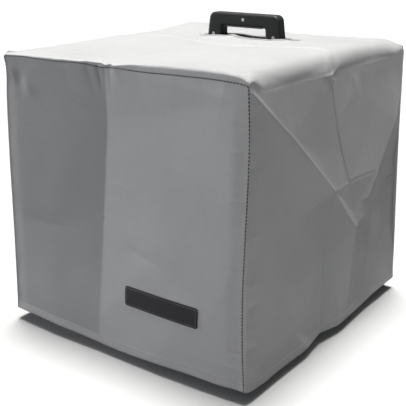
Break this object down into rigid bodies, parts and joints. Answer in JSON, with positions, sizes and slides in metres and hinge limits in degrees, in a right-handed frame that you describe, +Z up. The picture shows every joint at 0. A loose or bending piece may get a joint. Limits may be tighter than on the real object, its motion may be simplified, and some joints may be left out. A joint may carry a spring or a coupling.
{
  "type": "tennis ball machine",
  "caption": "Battery tennis ball machine stored in a fitted grey fabric cover, with the tow handle through a slit in the top and an upturned hopper beneath it.",
  "frame": {"origin": "on the floor under the middle of the machine", "axes": "+Z up, -Y the side the balls leave from, +X to the right seen from that side"},
  "size_m": [0.5, 0.53, 0.538],
  "materials": {
    "cover_fabric": "grey coated woven fabric, matt with a slight sheen",
    "cover_trim": "dark bound edge",
    "hopper_plastic": "black moulded plastic, fine texture",
    "housing_plastic": "dark grey moulded plastic, fine texture",
    "grip_plastic": "black moulded plastic, satin",
    "foot_rubber": "black rubber",
    "tyre_rubber": "black rubber",
    "wheel_plastic": "grey moulded plastic",
    "bright_steel": "zinc-plated steel",
    "tube_aluminium": "anodised aluminium",
    "frame_steel": "black powder coat",
    "gear_nylon": "natural nylon",
    "motor_can": "dark lacquered steel",
    "battery_case": "dark battery case",
    "board_laminate": "green circuit board",
    "panel_plastic": "black panel",
    "knob_plastic": "black knob",
    "rocker_plastic": "red rocker",
    "lamp_lens": "green lens",
    "throw_rubber": "grey throwing tread",
    "throw_hub": "cast wheel hub",
    "feed_plastic": "orange moulded feed wheel"
  },
  "bodies": {
    "machine": {"base_tray": "frame_steel", "lower_housing": "housing_plastic", "ball_port_bezel": "panel_plastic", "top_deck": "housing_plastic", "hopper_ledge": "housing_plastic", "front_feet": "foot_rubber", "axle": "bright_steel", "axle_end_caps": "grip_plastic", "handle_guide_tubes": "tube_aluminium", "handle_foot_bracket": "panel_plastic", "handle_top_bezel": "panel_plastic", "control_panel": "panel_plastic", "charger_socket": "bright_steel", "charge_lamp": "lamp_lens", "control_board": "board_laminate", "battery": "battery_case", "battery_strap": "frame_steel", "feed_bowl": "hopper_plastic", "feed_gearmotor": "motor_can", "ball_chute": "housing_plastic", "turntable_ring": "gear_nylon", "turn_gearmotor": "motor_can"},
    "hopper": {"hopper_shell": "hopper_plastic"},
    "cover": {"cover_front_panel": "cover_fabric", "cover_back_panel": "cover_fabric", "cover_wrap_panel": "cover_fabric", "cover_hem_band": "cover_fabric", "cover_slot_binding": "cover_trim"},
    "handle_middle": {"handle_middle_tubes": "tube_aluminium"},
    "handle_grip": {"handle_inner_tubes": "tube_aluminium", "grip_front_half": "grip_plastic", "grip_rear_half": "grip_plastic", "grip_screws": "bright_steel", "release_springs": "bright_steel"},
    "release_bar": {"grip_release_bar": "knob_plastic"},
    "left_wheel": {"wheel_rim_left": "wheel_plastic", "wheel_tyre_left": "tyre_rubber"},
    "right_wheel": {"wheel_rim_right": "wheel_plastic", "wheel_tyre_right": "tyre_rubber"},
    "carousel": {"feed_carousel": "feed_plastic", "carousel_cap": "feed_plastic"},
    "yoke": {"yoke": "frame_steel", "yoke_turn_gear": "gear_nylon", "tilt_gearmotor": "motor_can"},
    "turn_pinion": {"turn_pinion": "bright_steel"},
    "head": {"head_plate": "frame_steel", "trunnion_pins": "bright_steel", "tilt_sector_gear": "gear_nylon", "throw_motor_left": "motor_can", "throw_motor_right": "motor_can"},
    "tilt_pinion": {"tilt_pinion": "bright_steel"},
    "throw_left": {"throw_wheel_left": "throw_hub", "throw_tyre_left": "throw_rubber"},
    "throw_right": {"throw_wheel_right": "throw_hub", "throw_tyre_right": "throw_rubber"},
    "speed_dial": {"speed_knob": "knob_plastic"},
    "feed_dial": {"feed_knob": "knob_plastic"},
    "power_switch": {"power_rocker": "rocker_plastic"},
    "sweep_switch": {"sweep_rocker": "knob_plastic"}
  },
  "joints": [
    {"name": "hopper_lift", "type": "slide", "parent": "machine", "child": "hopper", "axis": [0, 0, 1], "range_m": [0, 0.32]},
    {"name": "cover_lift", "type": "slide", "parent": "hopper", "child": "cover", "axis": [0, 0, 1], "range_m": [0, 0.56]},
    {"name": "handle_lower_slide", "type": "slide", "parent": "machine", "child": "handle_middle", "axis": [0, 0, 1], "range_m": [0, 0.3]},
    {"name": "handle_upper_slide", "type": "slide", "parent": "handle_middle", "child": "handle_grip", "axis": [0, 0, 1], "range_m": [0, 0.3]},
    {"name": "grip_release", "type": "slide", "parent": "handle_grip", "child": "release_bar", "axis": [0, 0, 1], "range_m": [0, 0.004], "stiffness_N_per_m": 600, "springref_m": -0.003, "deforming": ["release_springs"]},
    {"name": "left_wheel_spin", "type": "hinge", "parent": "machine", "child": "left_wheel", "pos_m": [-0.227, 0.198, 0.05], "axis": [1, 0, 0], "continuous": true},
    {"name": "right_wheel_spin", "type": "hinge", "parent": "machine", "child": "right_wheel", "pos_m": [0.227, 0.198, 0.05], "axis": [1, 0, 0], "continuous": true},
    {"name": "carousel_spin", "type": "hinge", "parent": "machine", "child": "carousel", "pos_m": [0, -0.07, 0.3], "axis": [0, 0, 1], "continuous": true},
    {"name": "head_sweep", "type": "hinge", "parent": "machine", "child": "yoke", "pos_m": [0, -0.105, 0.05], "axis": [0, 0, 1], "range_deg": [-15, 15]},
    {"name": "turn_pinion_spin", "type": "hinge", "parent": "machine", "child": "turn_pinion", "pos_m": [0, -0.18, 0.046], "axis": [0, 0, 1], "range_deg": [-60, 60]},
    {"name": "head_tilt", "type": "hinge", "parent": "yoke", "child": "head", "pos_m": [0, -0.105, 0.16], "axis": [-1, 0, 0], "range_deg": [0, 30]},
    {"name": "tilt_pinion_spin", "type": "hinge", "parent": "yoke", "child": "tilt_pinion", "pos_m": [0.19, -0.105, 0.085], "axis": [-1, 0, 0], "range_deg": [-120, 0]},
    {"name": "left_throw_spin", "type": "hinge", "parent": "head", "child": "throw_left", "pos_m": [-0.099, -0.105, 0.16], "axis": [0, 0, 1], "continuous": true},
    {"name": "right_throw_spin", "type": "hinge", "parent": "head", "child": "throw_right", "pos_m": [0.099, -0.105, 0.16], "axis": [0, 0, 1], "continuous": true},
    {"name": "speed_knob_turn", "type": "hinge", "parent": "machine", "child": "speed_dial", "pos_m": [-0.078, 0.218, 0.178], "axis": [0, 1, 0], "range_deg": [-135, 135]},
    {"name": "feed_knob_turn", "type": "hinge", "parent": "machine", "child": "feed_dial", "pos_m": [-0.03, 0.218, 0.178], "axis": [0, 1, 0], "range_deg": [-135, 135]},
    {"name": "power_rocker_tip", "type": "hinge", "parent": "machine", "child": "power_switch", "pos_m": [0.024, 0.217, 0.178], "axis": [1, 0, 0], "range_deg": [-8, 8]},
    {"name": "sweep_rocker_tip", "type": "hinge", "parent": "machine", "child": "sweep_switch", "pos_m": [0.07, 0.217, 0.178], "axis": [1, 0, 0], "range_deg": [-8, 8]}
  ],
  "couplings": [
    {"joint": "turn_pinion_spin", "follows": "head_sweep", "ratio": -4},
    {"joint": "tilt_pinion_spin", "follows": "head_tilt", "ratio": -4}
  ]
}
